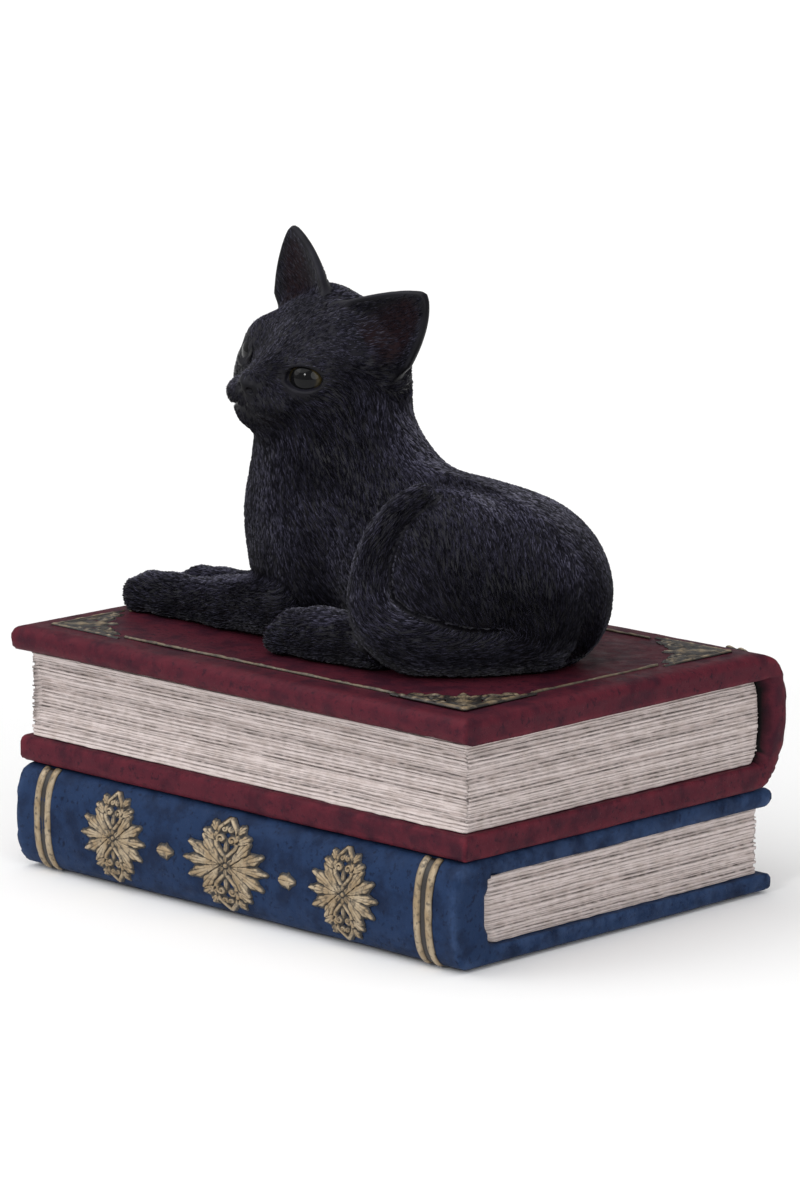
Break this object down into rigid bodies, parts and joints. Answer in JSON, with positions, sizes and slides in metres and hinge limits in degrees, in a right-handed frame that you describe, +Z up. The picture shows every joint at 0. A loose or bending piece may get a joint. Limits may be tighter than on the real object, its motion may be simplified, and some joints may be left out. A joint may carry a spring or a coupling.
{
  "type": "cat figurine keepsake box",
  "caption": "Kitten lying on a closed book that lifts off a second book: a figurine whose stacked books form a small lidded keepsake box.",
  "frame": {"origin": "middle of the box's footprint, on the surface it stands on", "axes": "+Z up, X along the books' spines with the kitten's forepaws towards -X, -Y towards the blue spine and the lid's fore-edge"},
  "size_m": [0.1414, 0.1054, 0.144],
  "materials": {
    "blue_cover": "painted, satin, mottled navy blue",
    "red_cover": "painted, satin, mottled maroon",
    "pages": "painted cream with a brown wash between the leaves",
    "gilt": "rubbed antique gold paint",
    "felt": "black felt",
    "fur": "painted satin black, dry-brushed on the raised strokes",
    "eye": "glossy, olive iris round a black pupil"
  },
  "bodies": {
    "box": {"lower_binding": "blue_cover", "lower_pages": "pages", "lower_bands_left": "gilt", "lower_bands_right": "gilt", "medallion_left": "gilt", "medallion_centre": "gilt", "medallion_right": "gilt", "floret_left": "gilt", "floret_right": "gilt", "compartment_floor_felt": "felt", "compartment_wall_felt": "felt", "felt_feet": "felt"},
    "lid": {"upper_binding": "red_cover", "upper_pages": "pages", "upper_bands_left": "gilt", "upper_bands_right": "gilt", "lid_medallion_left": "gilt", "lid_medallion_centre": "gilt", "lid_medallion_right": "gilt", "lid_floret_left": "gilt", "lid_floret_right": "gilt", "corner_fore_left": "gilt", "corner_fore_right": "gilt", "corner_spine_left": "gilt", "corner_spine_right": "gilt", "cover_line": "gilt", "cat": "fur", "eye_left": "eye", "eye_right": "eye"}
  },
  "joints": [
    {"name": "lid_lift", "type": "slide", "parent": "box", "child": "lid", "axis": [0, 0, 1], "range_m": [0, 0.06]}
  ]
}
